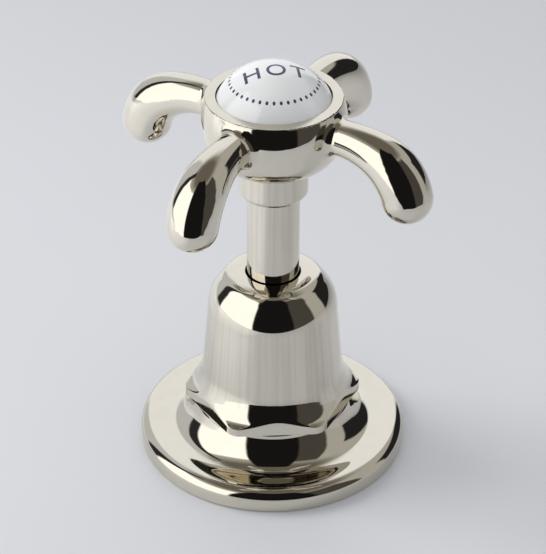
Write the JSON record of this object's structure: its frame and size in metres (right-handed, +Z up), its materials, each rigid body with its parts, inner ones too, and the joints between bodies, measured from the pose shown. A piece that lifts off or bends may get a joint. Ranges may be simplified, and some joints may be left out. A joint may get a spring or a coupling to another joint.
{
  "type": "basin side valve",
  "caption": "Deck-mounted side valve for a basin mixer: drooping cross handle with a porcelain index, bell cover on a hexagon skirt, ogee flange and a tee below the deck.",
  "frame": {"origin": "centre of the deck flange's underside, on the deck's top face", "axes": "+Z up along the spindle, -Y towards the person at the basin, +X towards the outlet and the spout"},
  "size_m": [0.0662, 0.0662, 0.1868],
  "materials": {
    "polished_nickel": "polished nickel plate on cast and turned brass",
    "glazed_porcelain": "white glaze, gloss",
    "machined_brass": "turned and cast, not plated",
    "stainless_steel": "stainless steel, bright turned",
    "black_rubber": "moulded, matt",
    "disc_ceramic": "lapped alumina",
    "white_acetal": "turned acetal"
  },
  "bodies": {
    "valve": {"valve_body": "machined_brass", "threaded_shank": "machined_brass", "riser_tube": "machined_brass", "riser_seal": "black_rubber", "headwork_body": "machined_brass", "fixed_disc": "disc_ceramic", "seat_gasket": "black_rubber", "body_seal": "black_rubber", "bell_cover": "polished_nickel", "cover_seal": "black_rubber", "deck_flange": "polished_nickel", "deck_seal": "black_rubber", "under_deck_washer": "black_rubber", "clamp_washer": "machined_brass", "back_nut": "machined_brass"},
    "handle": {"cross_handle": "polished_nickel", "porcelain_index": "glazed_porcelain", "index_carrier": "machined_brass", "index_o_ring": "black_rubber", "handle_screw": "stainless_steel", "lock_washer": "stainless_steel", "spindle_sleeve": "polished_nickel", "spindle_extension": "machined_brass", "spindle": "machined_brass", "spindle_o_ring_upper": "black_rubber", "spindle_o_ring_lower": "black_rubber", "circlip": "stainless_steel", "thrust_washer": "white_acetal", "moving_disc": "disc_ceramic"}
  },
  "joints": [
    {"name": "handle_turn", "type": "hinge", "parent": "valve", "child": "handle", "pos_m": [0, 0, 0.0712], "axis": [0, 0, 1], "range_deg": [0, 90]}
  ]
}
